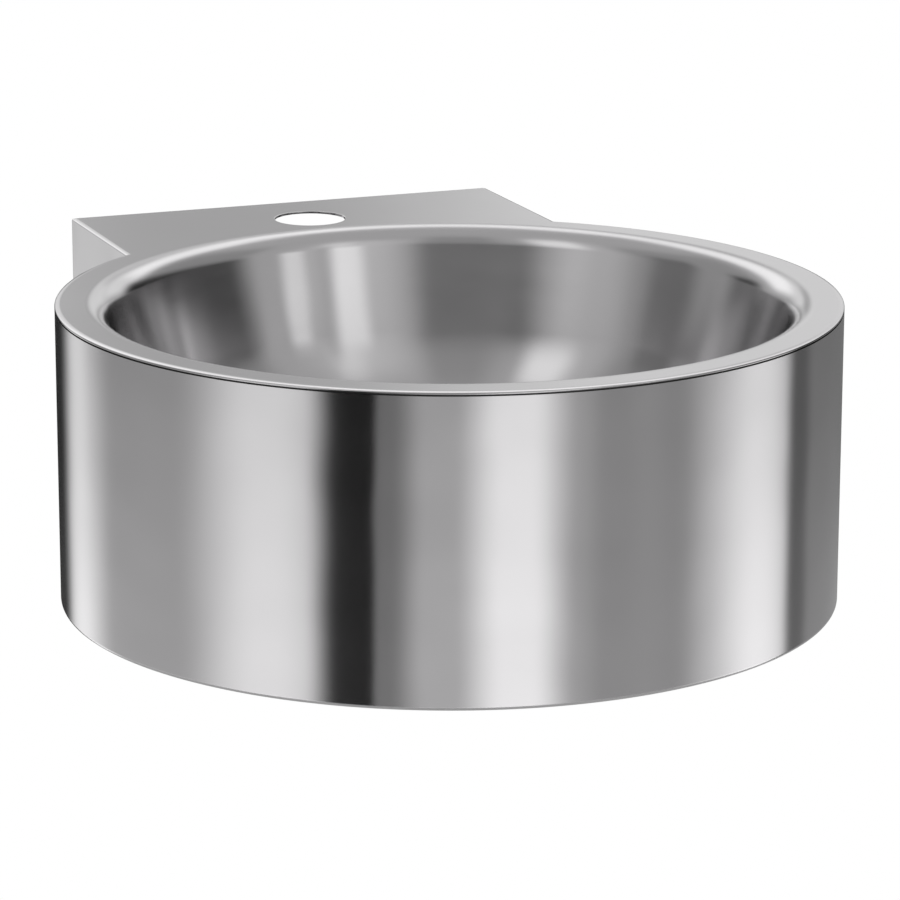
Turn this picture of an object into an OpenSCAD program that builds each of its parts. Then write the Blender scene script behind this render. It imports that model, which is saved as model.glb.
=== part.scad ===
// Wall-hung round hand wash basin in stainless steel sheet, with a rear tap ledge.
// The origin is on the wall, in the middle of the four wall fixing holes.
// +X is to the right of someone who stands in front, +Y goes into the wall, +Z is up.
// Every length is in millimetres.

/* [Round body] */
// Outer diameter of the round body
body_d = 360; // [350:1:400]
// Height of the body from its bottom edge to the deck
body_h = 140; // [132:1:180]
// Height of the deck above the middle of the wall fixings
deck_above_fixings = 60; // [56:1:70]
// Thickness of the steel sheet
sheet = 1.2; // [0.8:0.1:1.5]
// Outside radius of every fold in the sheet
fold_r = 2; // [1.8:0.1:3]
// Height of the upright edge below the fold round the deck
deck_edge_land = 1; // [0.5:0.5:3]
// Width of the hem turned in along the bottom edge
hem_w = 12; // [8:1:18]

/* [Bowl] */
// Distance from the bowl's wall out to the outside of the body
rim_w = 25; // [20:0.5:40]
// Depth of the bowl from the deck to the waste seat
bowl_depth = 115; // [104:1:122]
// Radius of the rolled lip between the deck and the wall
lip_r = 12; // [6:1:16]
// Lean of the bowl's wall out of the upright, in degrees
wall_draft = 16; // [10:1:18]
// Radius between the wall and the bottom
bowl_corner_r = 85; // [60:1:88]
// Slope of the bottom towards the waste, in degrees
bottom_slope = 4; // [2:0.5:5]
// Diameter of the dished waste seat
seat_d = 66; // [64:1:72]
// Depth of the dished waste seat
seat_drop = 2.5; // [1.5:0.5:4]

/* [Tap ledge] */
// Width of the ledge
ledge_w = 222; // [210:1:250]
// Diameter of the tap hole
tap_hole_d = 35; // [28:1:37]
// Distance from the back of the rolled lip to the middle of the tap hole
tap_from_lip = 24; // [21:1:28]
// Distance from the middle of the tap hole to the wall
tap_from_wall = 43; // [38:1:60]
// Height of the edge folded down behind the ledge
rear_flange_h = 6; // [5:0.5:8]
// Width of the flange folded in behind each side panel
side_flange_w = 12; // [10:1:16]
// Width of each stiffening bar under the ledge
stiffener_w = 12; // [8:1:20]
// Thickness of the stiffening bars
stiffener_t = 3; // [2:0.5:5]
// Distance of the stiffening bars from the middle of the ledge
stiffener_from_middle = 27; // [22:1:35]

/* [Wall bracket and rails] */
// Distance between the wall fixing holes, sideways
fixing_spacing_x = 140; // [100:1:150]
// Distance between the wall fixing holes, upwards
fixing_spacing_z = 40; // [30:1:46]
// Diameter of the wall fixing holes
fixing_hole_d = 9; // [7:0.5:11]
// Thickness of the wall bracket
bracket_t = 2.5; // [2:0.5:3]
// Distance from the middle of the fixings down to the underside of the bracket
bracket_drop = 45; // [38:1:50]
// Depth of the foot folded forward at the bottom of the bracket
bracket_foot = 22; // [18:1:26]
// Distance from the deck down to the floor of the hanging trough
trough_below_deck = 26; // [24:1:28]
// Width of the hanging trough, from the wall to its lip
trough_w = 12; // [10:1:16]
// Height of the trough's lip above its floor
trough_lip_h = 12; // [8:1:14]
// Width of each hanging hook
hook_w = 52; // [36:1:56]
// Thickness of the hanging hooks and the lower rail
rail_t = 2; // [1.5:0.5:3]
// Height of the lower rail's front leg
rail_leg_h = 15; // [10:1:18]
// Distance between the two locking screws
lock_spacing = 120; // [90:1:150]
// Thread diameter of the locking screws
lock_d = 6; // [5:1:8]

/* [Waste] */
// Diameter of the hole in the bowl
waste_hole_d = 44; // [43:0.5:48]
// Outer diameter of the threaded tail
tail_d = 41.9; // [40:0.1:42]
// Bore of the tail
tail_bore_d = 36; // [32:0.5:37]
// Length of the tail below its flange
tail_l = 55; // [45:1:65]
// Diameter of the flange
flange_d = 62; // [56:1:64]
// Thickness of the flange
flange_t = 3; // [2.5:0.5:4]
// Diameter of the strainer plate
strainer_d = 50; // [44:1:54]
// Thickness of the strainer plate
strainer_t = 1.5; // [1:0.5:2]
// Diameter of each hole in the strainer plate
strainer_hole_d = 6; // [4:0.5:7]
// Thread diameter of the strainer screw
strainer_screw_d = 6; // [4:1:8]
// Height of the lock nut
lock_nut_h = 9; // [6:1:12]
// Distance across the flats of the lock nut
lock_nut_flats = 54; // [50:1:60]

/* [Hidden] */
$fn = 180;

// Overrun of every cut past the faces it goes through
over = 1;
// Clearance of a screw in its hole, and of a ring round the tail, on the diameter
fit_clearance = 0.6;
// Gap between neighbouring sheet edges that aren't welded together
edge_gap = 1;
// Gap that the weld fills between the deck's folded edge and the sheets below it
weld_gap = 0.2;
// Clearance of the hanging hooks behind the trough's lip
hang_gap = 1;
// Gap between the wall bracket and the flanges of the side panels
bracket_gap = 4;
// Gap at each end of the stiffening bars
stiffener_gap = 2;
// Notch between the bottom hem and the back flange of a side panel
corner_notch = 3;

// Heights and radii that follow
deck_z = deck_above_fixings;
bottom_z = deck_z - body_h;
body_r = body_d / 2;
wall_r = body_r - rim_w;
lip_end_r = wall_r + lip_r;
axis_from_wall = lip_end_r + tap_from_lip + tap_from_wall;
axis_y = -axis_from_wall;
ledge_hw = ledge_w / 2;
panel_in = ledge_hw - sheet;
deck_edge_h = fold_r + deck_edge_land;
deck_low_z = deck_z - deck_edge_h;
wall_top_z = deck_low_z - weld_gap;
wall_h = wall_top_z - bottom_z;
// How far behind the bowl's axis the inside of the skirt meets a side panel
panel_front = sqrt(pow(body_r - sheet, 2) - pow(ledge_hw, 2));

// The bowl's bottom, from the end of the corner arc to the waste seat
seat_r = seat_d / 2;
seat_z = deck_z - bowl_depth;
seat_top_r = seat_r + seat_drop;
// Where the rolled lip runs into the wall
lip_foot_r = lip_end_r - lip_r * cos(wall_draft);
lip_foot_z = deck_z - lip_r * (1 - sin(wall_draft));
// The middle of the corner arc lies its radius away from the wall and from the slope
from_wall = bowl_corner_r + sin(wall_draft) * lip_foot_z - cos(wall_draft) * lip_foot_r;
from_slope = bowl_corner_r + cos(bottom_slope) * (seat_z + seat_drop)
    - sin(bottom_slope) * seat_top_r;
spread = cos(wall_draft + bottom_slope);
corner_r = (from_slope * sin(wall_draft) - from_wall * cos(bottom_slope)) / spread;
corner_z = (from_slope * cos(wall_draft) - from_wall * sin(bottom_slope)) / spread;

// Wall bracket and rails
bracket_w = ledge_w - 2 * (side_flange_w + bracket_gap);
trough_z = deck_z - trough_below_deck;
foot_z = -bracket_drop;
hook_y = -trough_w + hang_gap;
hook_h = trough_lip_h + rail_t;
rail_hw = ledge_hw - fold_r;
lock_y = -bracket_foot / 2 - bracket_t;
lock_hole_d = lock_d + fit_clearance;
lock_washer_d = 2 * lock_d;
lock_washer_t = 1.6;
lock_head_d = 1.75 * lock_d;
lock_head_h = 0.55 * lock_d;
lock_nut_d = 1.9 * lock_d;
lock_nut_t = 0.85 * lock_d;
lock_past_nut = 2;

// Damping pad under the bowl
pad_t = 3;
pad_margin = 3;
pad_w = 39;

// Earth tag on the right side panel
tag_t = 1.5;
tag_w = 16;
tag_foot_h = 14;
tag_hole_d = 6.5;
tag_hole_x = ledge_hw - hem_w - tag_hole_d;
tag_y = axis_y + panel_front + 2.5 * tag_w;
tag_z = foot_z + tag_foot_h / 2;

// Waste, from the bowl's seat upwards and downwards
seal_t = 1.5;
seal_w = 8;
flange_z = seat_z + seal_t;
strainer_seat = strainer_t;
strainer_z = flange_z + flange_t - strainer_seat;
undercut_w = 2;
undercut_depth = 0.7;
crossbar_below = 12;
crossbar_h = 5;
crossbar_w = 6;
boss_d = 2 * strainer_screw_d;
boss_h = 9;
boss_z = flange_z - crossbar_below - boss_h;
screw_head_d = 2.2 * strainer_screw_d;
screw_head_h = 0.4 * strainer_screw_d;
inner_ring_share = 0.21;
outer_ring_share = 0.38;
inner_ring_count = 6;
outer_ring_count = 12;
gasket_t = 3;
gasket_d = 60;
slip_t = 1.5;
slip_d = 58;
gasket_z = seat_z - sheet - gasket_t;
slip_z = gasket_z - slip_t;
lock_nut_z = slip_z - lock_nut_h;
undercut_z = lock_nut_z - 2 * undercut_w;

// A w by h rectangle from the origin, with the corner at (w, 0) rounded
module round_corner(w, h, r) {
    square([w - r, h]);
    translate([0, r]) square([w, h - r]);
    translate([w - r, r]) circle(r);
}

// Sheet folded to an L whose outer corner is at (w, 0)
module folded_sheet(w, h) {
    difference() {
        round_corner(w, h, fold_r);
        translate([-over, sheet])
            round_corner(w - sheet + over, h - sheet + over, fold_r - sheet);
    }
}

module at_axis() {
    translate([0, axis_y, 0]) children();
}

module both_sides(x) {
    for (side = [-1, 1]) translate([side * x, 0, 0]) children();
}

module ring(outer_d, inner_d, h) {
    difference() {
        cylinder(d = outer_d, h = h);
        translate([0, 0, -over]) cylinder(d = inner_d, h = h + 2 * over);
    }
}

// Half section of the space inside the bowl, grown outwards by one sheet where grow is 1
module bowl_section(grow) {
    t = grow * sheet;
    arc_r = bowl_corner_r + t;
    arc_mid = [corner_r, corner_z];
    lip_mid = [lip_end_r, deck_z - lip_r];
    // From the middle of the corner arc to its two ends
    to_wall = arc_r * [cos(wall_draft), -sin(wall_draft)];
    to_slope = arc_r * [sin(bottom_slope), -cos(bottom_slope)];
    difference() {
        polygon([
            [0, seat_z - t],
            [seat_r, seat_z - t],
            [seat_top_r, seat_z + seat_drop - t / cos(bottom_slope)],
            arc_mid + to_slope,
            arc_mid + to_wall,
            lip_mid - (lip_r - t) * [cos(wall_draft), -sin(wall_draft)],
            lip_mid,
            [lip_end_r, deck_z],
            [0, deck_z]
        ]);
        translate(lip_mid) circle(lip_r - t);
    }
    intersection() {
        translate(arc_mid) circle(arc_r);
        polygon([
            arc_mid,
            arc_mid + 2 * to_slope,
            arc_mid + 2 * (to_slope + to_wall),
            arc_mid + 2 * to_wall
        ]);
    }
}

module bowl() {
    color("silver")
    at_axis()
    difference() {
        rotate_extrude() difference() {
            bowl_section(1);
            bowl_section(0);
        }
        translate([0, 0, seat_z - sheet - over])
            cylinder(d = waste_hole_d, h = sheet + 2 * over);
    }
}

// A rectangle that hangs from the x axis, 2 hw wide, with its upper corners rounded
module round_top(hw, h, r) {
    for (side = [0, 1]) mirror([side, 0]) mirror([0, 1]) round_corner(hw, h, r);
}

// The body's top as a solid block, drawn in by inset, with its upper edge rounded
module deck_block(inset, low_z) {
    r = fold_r - inset;
    top_z = deck_z - inset;
    hw = ledge_hw - inset;
    h = top_z - low_z;
    at_axis() rotate_extrude()
        translate([0, top_z]) mirror([0, 1]) round_corner(body_r - inset, h, r);
    intersection() {
        translate([0, -inset, top_z]) rotate([90, 0, 0])
            linear_extrude(axis_from_wall - inset) round_top(hw, h, r);
        translate([-ledge_hw, axis_y, top_z]) rotate([90, 0, 90])
            linear_extrude(ledge_w) mirror([0, 1]) round_corner(axis_from_wall - inset, h, r);
        translate([0, -inset, low_z])
            linear_extrude(h) round_top(hw, axis_from_wall - inset, r);
    }
}

module deck_plate() {
    flange_hw = ledge_hw - side_flange_w - edge_gap;
    color("silver")
    difference() {
        union() {
            difference() {
                deck_block(0, deck_low_z);
                deck_block(sheet, deck_low_z - over);
            }
            translate([-flange_hw, -sheet, deck_z - rear_flange_h])
                cube([2 * flange_hw, sheet, rear_flange_h - fold_r]);
        }
        at_axis() translate([0, 0, deck_low_z - over])
            cylinder(r = lip_end_r, h = deck_edge_h + 2 * over);
        translate([0, -tap_from_wall, deck_z - sheet - over])
            cylinder(d = tap_hole_d, h = sheet + 2 * over);
    }
}

module skirt() {
    color("lightgray")
    at_axis()
    difference() {
        translate([0, 0, bottom_z]) rotate_extrude()
            translate([body_r - hem_w, 0]) folded_sheet(hem_w, wall_h);
        translate([-ledge_hw, 0, bottom_z - over])
            cube([ledge_w, body_r + over, wall_h + 2 * over]);
    }
}

// The panel on the right. The left one is its mirror image.
module side_panel() {
    front_y = axis_y + panel_front;
    flange_low_z = bottom_z + hem_w + corner_notch;
    // Upright sheet with the hem along its bottom edge
    translate([ledge_hw - hem_w, -fold_r, bottom_z])
        rotate([90, 0, 0])
        linear_extrude(-fold_r - front_y) folded_sheet(hem_w, wall_h);
    // Flange folded in against the wall
    translate([ledge_hw - side_flange_w, 0, flange_low_z])
        mirror([0, 1, 0])
        linear_extrude(wall_top_z - flange_low_z) folded_sheet(side_flange_w, side_flange_w);
}

module right_side_panel() {
    color("lightgray") side_panel();
}

module left_side_panel() {
    color("lightgray") mirror([1, 0, 0]) side_panel();
}

// Flat bars that run from the rolled lip to the back, one on each side of the tap hole
module ledge_stiffeners() {
    front_y = axis_y + lip_end_r + stiffener_gap;
    back_y = -sheet - rail_t - stiffener_gap;
    color("gray")
    for (side = [0, 1]) mirror([side, 0, 0])
        translate([stiffener_from_middle, front_y, deck_z - sheet - stiffener_t])
        cube([stiffener_w, back_y - front_y, stiffener_t]);
}

// Z profiles: a leg on the flange of the side panel, a web and a hook that stands in the trough
module hanging_hooks() {
    back_y = -sheet;
    web_z = trough_z + hook_h - rail_t;
    color("gray")
    for (side = [0, 1]) mirror([side, 0, 0]) translate([rail_hw - hook_w, 0, 0]) {
        translate([0, back_y - rail_t, web_z]) cube([hook_w, rail_t, deck_z - fold_r - web_z]);
        translate([0, hook_y, web_z]) cube([hook_w, back_y - hook_y, rail_t]);
        translate([0, hook_y, trough_z]) cube([hook_w, rail_t, hook_h]);
    }
}

// Angle under the bracket's foot, with a leg in front of the screw heads
module lower_rail() {
    front_y = -bracket_foot - rail_t;
    color("gray")
    difference() {
        translate([-rail_hw, front_y, 0]) {
            translate([0, 0, foot_z - rail_t])
                cube([2 * rail_hw, -sheet - front_y, rail_t]);
            translate([0, 0, foot_z - rail_leg_h])
                cube([2 * rail_hw, rail_t, rail_leg_h]);
        }
        both_sides(lock_spacing / 2)
            translate([0, lock_y, foot_z - rail_t - over])
            cylinder(d = lock_hole_d, h = rail_t + 2 * over);
    }
}

// Folded plate: the back on the wall, a trough along the top and a foot along the bottom
module wall_bracket() {
    lip_front_y = -trough_w - bracket_t;
    color("dimgray")
    difference() {
        translate([-bracket_w / 2, 0, 0]) {
            translate([0, -bracket_t, foot_z])
                cube([bracket_w, bracket_t, trough_z - foot_z]);
            translate([0, lip_front_y, trough_z - bracket_t])
                cube([bracket_w, -lip_front_y, bracket_t]);
            translate([0, lip_front_y, trough_z - bracket_t])
                cube([bracket_w, bracket_t, trough_lip_h + bracket_t]);
            translate([0, -bracket_foot, foot_z])
                cube([bracket_w, bracket_foot, bracket_t]);
        }
        both_sides(fixing_spacing_x / 2)
            for (up = [-1, 1])
                translate([0, over, up * fixing_spacing_z / 2])
                rotate([90, 0, 0]) cylinder(d = fixing_hole_d, h = bracket_t + 2 * over);
        both_sides(lock_spacing / 2)
            translate([0, lock_y, foot_z - over])
            cylinder(d = lock_hole_d, h = bracket_t + 2 * over);
    }
}

module locking_screws() {
    washer_z = foot_z - rail_t - lock_washer_t;
    shank_l = lock_washer_t + rail_t + bracket_t + lock_nut_t + lock_past_nut;
    color("silver")
    both_sides(lock_spacing / 2) translate([0, lock_y, washer_z]) {
        translate([0, 0, -lock_head_h]) cylinder(d = lock_head_d, h = lock_head_h);
        cylinder(d = lock_d, h = shank_l);
    }
}

module locking_washers() {
    color("silver")
    both_sides(lock_spacing / 2)
        translate([0, lock_y, foot_z - rail_t - lock_washer_t])
        ring(lock_washer_d, lock_hole_d, lock_washer_t);
}

module locking_nuts() {
    color("gray")
    both_sides(lock_spacing / 2)
        translate([0, lock_y, foot_z + bracket_t])
        difference() {
            cylinder(d = lock_nut_d, h = lock_nut_t, $fn = 6);
            translate([0, 0, -over]) cylinder(d = lock_d, h = lock_nut_t + 2 * over);
        }
}

// Ring stuck under the bowl, which follows its underside
module sound_pad() {
    in_r = seat_top_r + pad_margin;
    color("dimgray")
    at_axis() rotate_extrude() intersection() {
        difference() {
            bowl_section(1 + pad_t / sheet);
            bowl_section(1);
        }
        translate([in_r, seat_z - sheet - pad_t]) square([pad_w, corner_z - seat_z]);
    }
}

// Small angle on the inside of the right side panel, with its hole clear of the hem below
module earth_tag() {
    end_x = tag_hole_x - tag_w / 2;
    color("gray")
    difference() {
        translate([0, tag_y - tag_w / 2, tag_z]) {
            translate([panel_in - tag_t, 0, 0]) cube([tag_t, tag_w, tag_foot_h]);
            translate([end_x, 0, 0]) cube([panel_in - end_x, tag_w, tag_t]);
        }
        translate([tag_hole_x, tag_y, tag_z - over])
            cylinder(d = tag_hole_d, h = tag_t + 2 * over);
    }
}

// Flange and threaded tail, with a crossbar and boss for the strainer screw.
// An undercut below the lock nut parts its thread from the one that takes the trap.
module waste_body() {
    color("gainsboro")
    at_axis()
    difference() {
        union() {
            difference() {
                union() {
                    translate([0, 0, flange_z]) cylinder(d = flange_d, h = flange_t);
                    translate([0, 0, flange_z - tail_l]) cylinder(d = tail_d, h = tail_l + flange_t);
                }
                translate([0, 0, flange_z - tail_l - over])
                    cylinder(d = tail_bore_d, h = tail_l + flange_t + 2 * over);
            }
            translate([-tail_bore_d / 2 - edge_gap, -crossbar_w / 2, boss_z + boss_h - crossbar_h])
                cube([tail_bore_d + 2 * edge_gap, crossbar_w, crossbar_h]);
            translate([0, 0, boss_z]) cylinder(d = boss_d, h = boss_h);
        }
        translate([0, 0, strainer_z])
            cylinder(d = strainer_d + fit_clearance, h = strainer_seat + over);
        translate([0, 0, boss_z - over]) cylinder(d = strainer_screw_d, h = boss_h + 2 * over);
        translate([0, 0, undercut_z])
            ring(tail_d + 2 * over, tail_d - 2 * undercut_depth, undercut_w);
    }
}

module hole_ring(share, count) {
    for (i = [0 : count - 1])
        rotate(i * 360 / count) translate([share * strainer_d, 0, -over])
        cylinder(d = strainer_hole_d, h = strainer_t + 2 * over);
}

module strainer_plate() {
    color("silver")
    at_axis() translate([0, 0, strainer_z])
    difference() {
        cylinder(d = strainer_d, h = strainer_t);
        translate([0, 0, -over])
            cylinder(d = strainer_screw_d + fit_clearance, h = strainer_t + 2 * over);
        hole_ring(inner_ring_share, inner_ring_count);
        hole_ring(outer_ring_share, outer_ring_count);
    }
}

module strainer_screw() {
    head_z = strainer_z + strainer_t;
    color("silver")
    at_axis() {
        translate([0, 0, head_z]) cylinder(d = screw_head_d, h = screw_head_h);
        translate([0, 0, boss_z]) cylinder(d = strainer_screw_d, h = head_z - boss_z);
    }
}

module flange_seal() {
    color("black")
    at_axis() translate([0, 0, seat_z])
        ring(tail_d + 2 * seal_w, waste_hole_d, seal_t);
}

module bowl_gasket() {
    color("black")
    at_axis() translate([0, 0, gasket_z])
        ring(gasket_d, tail_d + fit_clearance, gasket_t);
}

module slip_washer() {
    color("white")
    at_axis() translate([0, 0, slip_z])
        ring(slip_d, tail_d + fit_clearance, slip_t);
}

module lock_nut() {
    color("goldenrod")
    at_axis() translate([0, 0, lock_nut_z])
    difference() {
        cylinder(d = lock_nut_flats / cos(30), h = lock_nut_h, $fn = 6);
        translate([0, 0, -over]) cylinder(d = tail_d, h = lock_nut_h + 2 * over);
    }
}

bowl();
deck_plate();
skirt();
left_side_panel();
right_side_panel();
ledge_stiffeners();
hanging_hooks();
lower_rail();
wall_bracket();
locking_screws();
locking_washers();
locking_nuts();
sound_pad();
earth_tag();
waste_body();
strainer_plate();
strainer_screw();
flange_seal();
bowl_gasket();
slip_washer();
lock_nut();
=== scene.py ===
"""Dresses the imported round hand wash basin: fine sheet steel pieces, the waste with its
threads, the finishes, and a plain studio. Everything is in metres, in the CAD's own frame."""

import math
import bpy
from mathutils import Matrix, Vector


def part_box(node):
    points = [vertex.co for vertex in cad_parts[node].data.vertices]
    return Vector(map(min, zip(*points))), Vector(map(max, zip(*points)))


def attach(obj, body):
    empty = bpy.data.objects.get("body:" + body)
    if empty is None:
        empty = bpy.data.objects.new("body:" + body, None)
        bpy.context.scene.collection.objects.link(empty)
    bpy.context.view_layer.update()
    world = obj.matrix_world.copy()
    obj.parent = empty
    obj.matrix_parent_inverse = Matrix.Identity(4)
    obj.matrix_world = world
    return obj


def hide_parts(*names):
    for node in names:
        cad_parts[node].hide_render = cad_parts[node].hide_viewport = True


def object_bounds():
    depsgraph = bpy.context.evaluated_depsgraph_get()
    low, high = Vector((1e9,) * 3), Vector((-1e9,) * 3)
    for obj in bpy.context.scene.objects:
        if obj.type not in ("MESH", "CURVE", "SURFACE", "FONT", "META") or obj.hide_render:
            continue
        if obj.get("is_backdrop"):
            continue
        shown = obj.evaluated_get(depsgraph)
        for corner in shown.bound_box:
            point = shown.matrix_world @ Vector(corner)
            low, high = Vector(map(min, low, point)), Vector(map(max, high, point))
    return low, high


bl_info = {
    "name": "Hand wash basin",
    "version": (1, 0, 0),
    "blender": (4, 5, 0),
    "location": "3D View > Sidebar > Basin",
    "description": "Builds the basin's steel, waste, finishes and studio round the packed frame",
    "category": "Object",
}

import bmesh
import bpy
import numpy as np
from bpy.props import FloatProperty, FloatVectorProperty, PointerProperty
from mathutils import Matrix, Vector
from mathutils.geometry import tessellate_polygon

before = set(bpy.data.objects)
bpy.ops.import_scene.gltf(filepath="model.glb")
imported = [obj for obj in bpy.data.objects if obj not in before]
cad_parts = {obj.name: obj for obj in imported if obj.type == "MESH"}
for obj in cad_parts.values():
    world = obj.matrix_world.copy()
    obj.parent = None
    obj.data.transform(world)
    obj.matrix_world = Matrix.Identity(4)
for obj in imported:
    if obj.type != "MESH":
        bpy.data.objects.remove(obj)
cad_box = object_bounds()

DECK_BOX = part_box("deck_plate")
BOWL_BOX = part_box("bowl")
SKIRT_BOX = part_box("skirt")
PANEL_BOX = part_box("right_side_panel")
WASTE_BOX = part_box("waste_body")
NUT_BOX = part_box("lock_nut")


def whole(value):
    """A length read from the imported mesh, to a tenth of a millimetre."""
    return round(value, 4)


DECK_Z = whole(DECK_BOX[1].z)
LOW_Z = whole(SKIRT_BOX[0].z)
BODY_R = whole(SKIRT_BOX[1].x)
LIP_END_R = whole(BOWL_BOX[1].x)
AXIS_Y = whole((BOWL_BOX[0].y + BOWL_BOX[1].y) / 2)
LEDGE_HW = whole(PANEL_BOX[1].x)
PANEL_FRONT_Y = round(PANEL_BOX[0].y, 5)

# Steps round the bowl, the apron and the tap hole
RING, APRON_RING, TAP_RING = 288, 300, 96
GROOVE = 1.3  # Depth of the seam's groove, as a share of the seam
CLEARANCE = 0.001  # Between the ledge's rear edge and the side flanges
TAIL_R = 0.02095  # The waste's tail, a pipe thread of 1 1/4 inch
SCREW_R, SCREW_PITCH = 0.003, 0.001
SCREW_XS, SCREW_Y = (-0.06, 0.06), -0.0135
NUT_FLAT_R, WELD_NUT_R = 0.027, 0.0057
STITCH = 0.012  # Length of a weld stitch
PANEL_WALL_X = LEDGE_HW - 0.0012  # Inner face of a side panel
EDGE_ANGLE = math.radians(35)  # Edges sharper than this are rounded
LINE_DEPTH, MOTTLE_DEPTH = 0.000002, 0.00002
VIEW_TURN = 21.35  # Degrees from straight ahead to the way the photograph looks
WHITE = (1, 1, 1, 1)


# ---------------------------------------------------------------- sizes and finishes


class BasinSizes(bpy.types.PropertyGroup):
    sheet: FloatProperty(
        name="Sheet", description="Thickness of the steel sheet", default=0.0012, unit="LENGTH"
    )
    fold_r: FloatProperty(
        name="Fold radius", description="Outside radius of every fold", default=0.002, unit="LENGTH"
    )
    crown_r: FloatProperty(
        name="Deck crown", description="Radius in which the deck starts to fall before its fold",
        default=0.006, unit="LENGTH",
    )
    crown_turn: FloatProperty(
        name="Deck crown turn", description="How far the deck leans where its fold starts",
        default=math.radians(22), subtype="ANGLE",
    )
    edge_r: FloatProperty(
        name="Deck edge radius", description="Outside radius of the fold round the deck",
        default=0.0006, unit="LENGTH",
    )
    edge_land: FloatProperty(
        name="Edge land", description="Upright edge below the fold round the deck",
        default=0.00025, unit="LENGTH",
    )
    seam: FloatProperty(
        name="Seam", description="Fine groove between the deck and the apron",
        default=0.0008, unit="LENGTH",
    )
    hem_w: FloatProperty(
        name="Hem", description="Width of the hem along the bottom edge",
        default=0.012, unit="LENGTH",
    )
    lip_r: FloatProperty(
        name="Lip radius", description="Radius of the rolled lip round the bowl",
        default=0.012, unit="LENGTH",
    )
    wall_draft: FloatProperty(
        name="Wall draft", description="How far the bowl's wall leans out of the upright",
        default=math.radians(16), subtype="ANGLE",
    )
    corner_r: FloatProperty(
        name="Bowl corner", description="Radius between the bowl's wall and its bottom",
        default=0.085, unit="LENGTH",
    )
    slope: FloatProperty(
        name="Bottom slope", description="Slope of the bowl's bottom", default=math.radians(4),
        subtype="ANGLE",
    )
    seat_r: FloatProperty(
        name="Seat radius", description="Radius of the dished waste seat",
        default=0.033, unit="LENGTH",
    )
    seat_drop: FloatProperty(
        name="Seat drop", description="Depth of the dished waste seat",
        default=0.0025, unit="LENGTH",
    )
    waste_hole_r: FloatProperty(
        name="Waste hole", description="Radius of the hole in the bowl",
        default=0.022, unit="LENGTH",
    )
    tap_y: FloatProperty(
        name="Tap hole place", description="Where the middle of the tap hole is",
        default=-0.043, unit="LENGTH",
    )
    tap_r: FloatProperty(
        name="Tap hole radius", description="Radius of the tap hole", default=0.0175, unit="LENGTH"
    )
    tap_edge: FloatProperty(
        name="Tap hole edge", description="Rounding of the tap hole's upper edge",
        default=0.0005, unit="LENGTH",
    )
    rear_flange_h: FloatProperty(
        name="Rear edge", description="Height of the edge folded down behind the ledge",
        default=0.006, unit="LENGTH",
    )
    side_flange_w: FloatProperty(
        name="Side flange", description="Flange folded in behind each side panel",
        default=0.012, unit="LENGTH",
    )


class BasinFinish(bpy.types.PropertyGroup):
    steel: FloatVectorProperty(
        name="Steel", description="Colour of the polished steel", subtype="COLOR",
        default=(0.62, 0.612, 0.62), min=0, max=1,
    )
    steel_rough: FloatProperty(
        name="Steel roughness", description="How satin the polished steel is",
        default=0.15, min=0, max=1, subtype="FACTOR",
    )
    steel_grain: FloatProperty(
        name="Steel grain", description="How far the polish smears a reflection across its grain",
        default=1.0, min=0, max=1, subtype="FACTOR",
    )
    inner_rough: FloatProperty(
        name="Bowl roughness", description="How satin the inside of the bowl is",
        default=0.14, min=0, max=1, subtype="FACTOR",
    )
    wave: FloatProperty(
        name="Waviness", description="Height of the slow waves that pressing leaves in the sheet",
        default=0.0009, min=0, unit="LENGTH",
    )


class BasinStudio(bpy.types.PropertyGroup):
    lens: FloatProperty(name="Lens", description="Focal length on a 36 mm sensor", default=169.09)
    camera_side: FloatProperty(
        name="Camera side", description="How far left of the middle the camera stands",
        default=-0.6871, unit="LENGTH",
    )
    camera_front: FloatProperty(
        name="Camera front", description="How far in front of the wall the camera stands",
        default=-1.9918, unit="LENGTH",
    )
    camera_up: FloatProperty(
        name="Camera height", description="Height of the camera above the wall fixings",
        default=0.485, unit="LENGTH",
    )
    azimuth: FloatProperty(
        name="Azimuth", description="Direction the camera looks in, from straight ahead",
        default=math.radians(VIEW_TURN + 0.0104), subtype="ANGLE",
    )
    pitch: FloatProperty(
        name="Pitch", description="How far the camera looks down",
        default=math.radians(14.765), subtype="ANGLE",
    )
    roll: FloatProperty(
        name="Roll", description="Small turn of the picture", default=math.radians(0.101),
        subtype="ANGLE",
    )
    floor_z: FloatProperty(
        name="Floor", description="Height of the floor", default=-0.86, unit="LENGTH"
    )
    floor_r: FloatProperty(
        name="Floor radius", description="Radius of the floor", default=1.3, unit="LENGTH"
    )


# ---------------------------------------------------------------- mesh helpers


def linked(name, data):
    obj = bpy.data.objects.new(name, data)
    bpy.context.scene.collection.objects.link(obj)
    return obj


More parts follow.
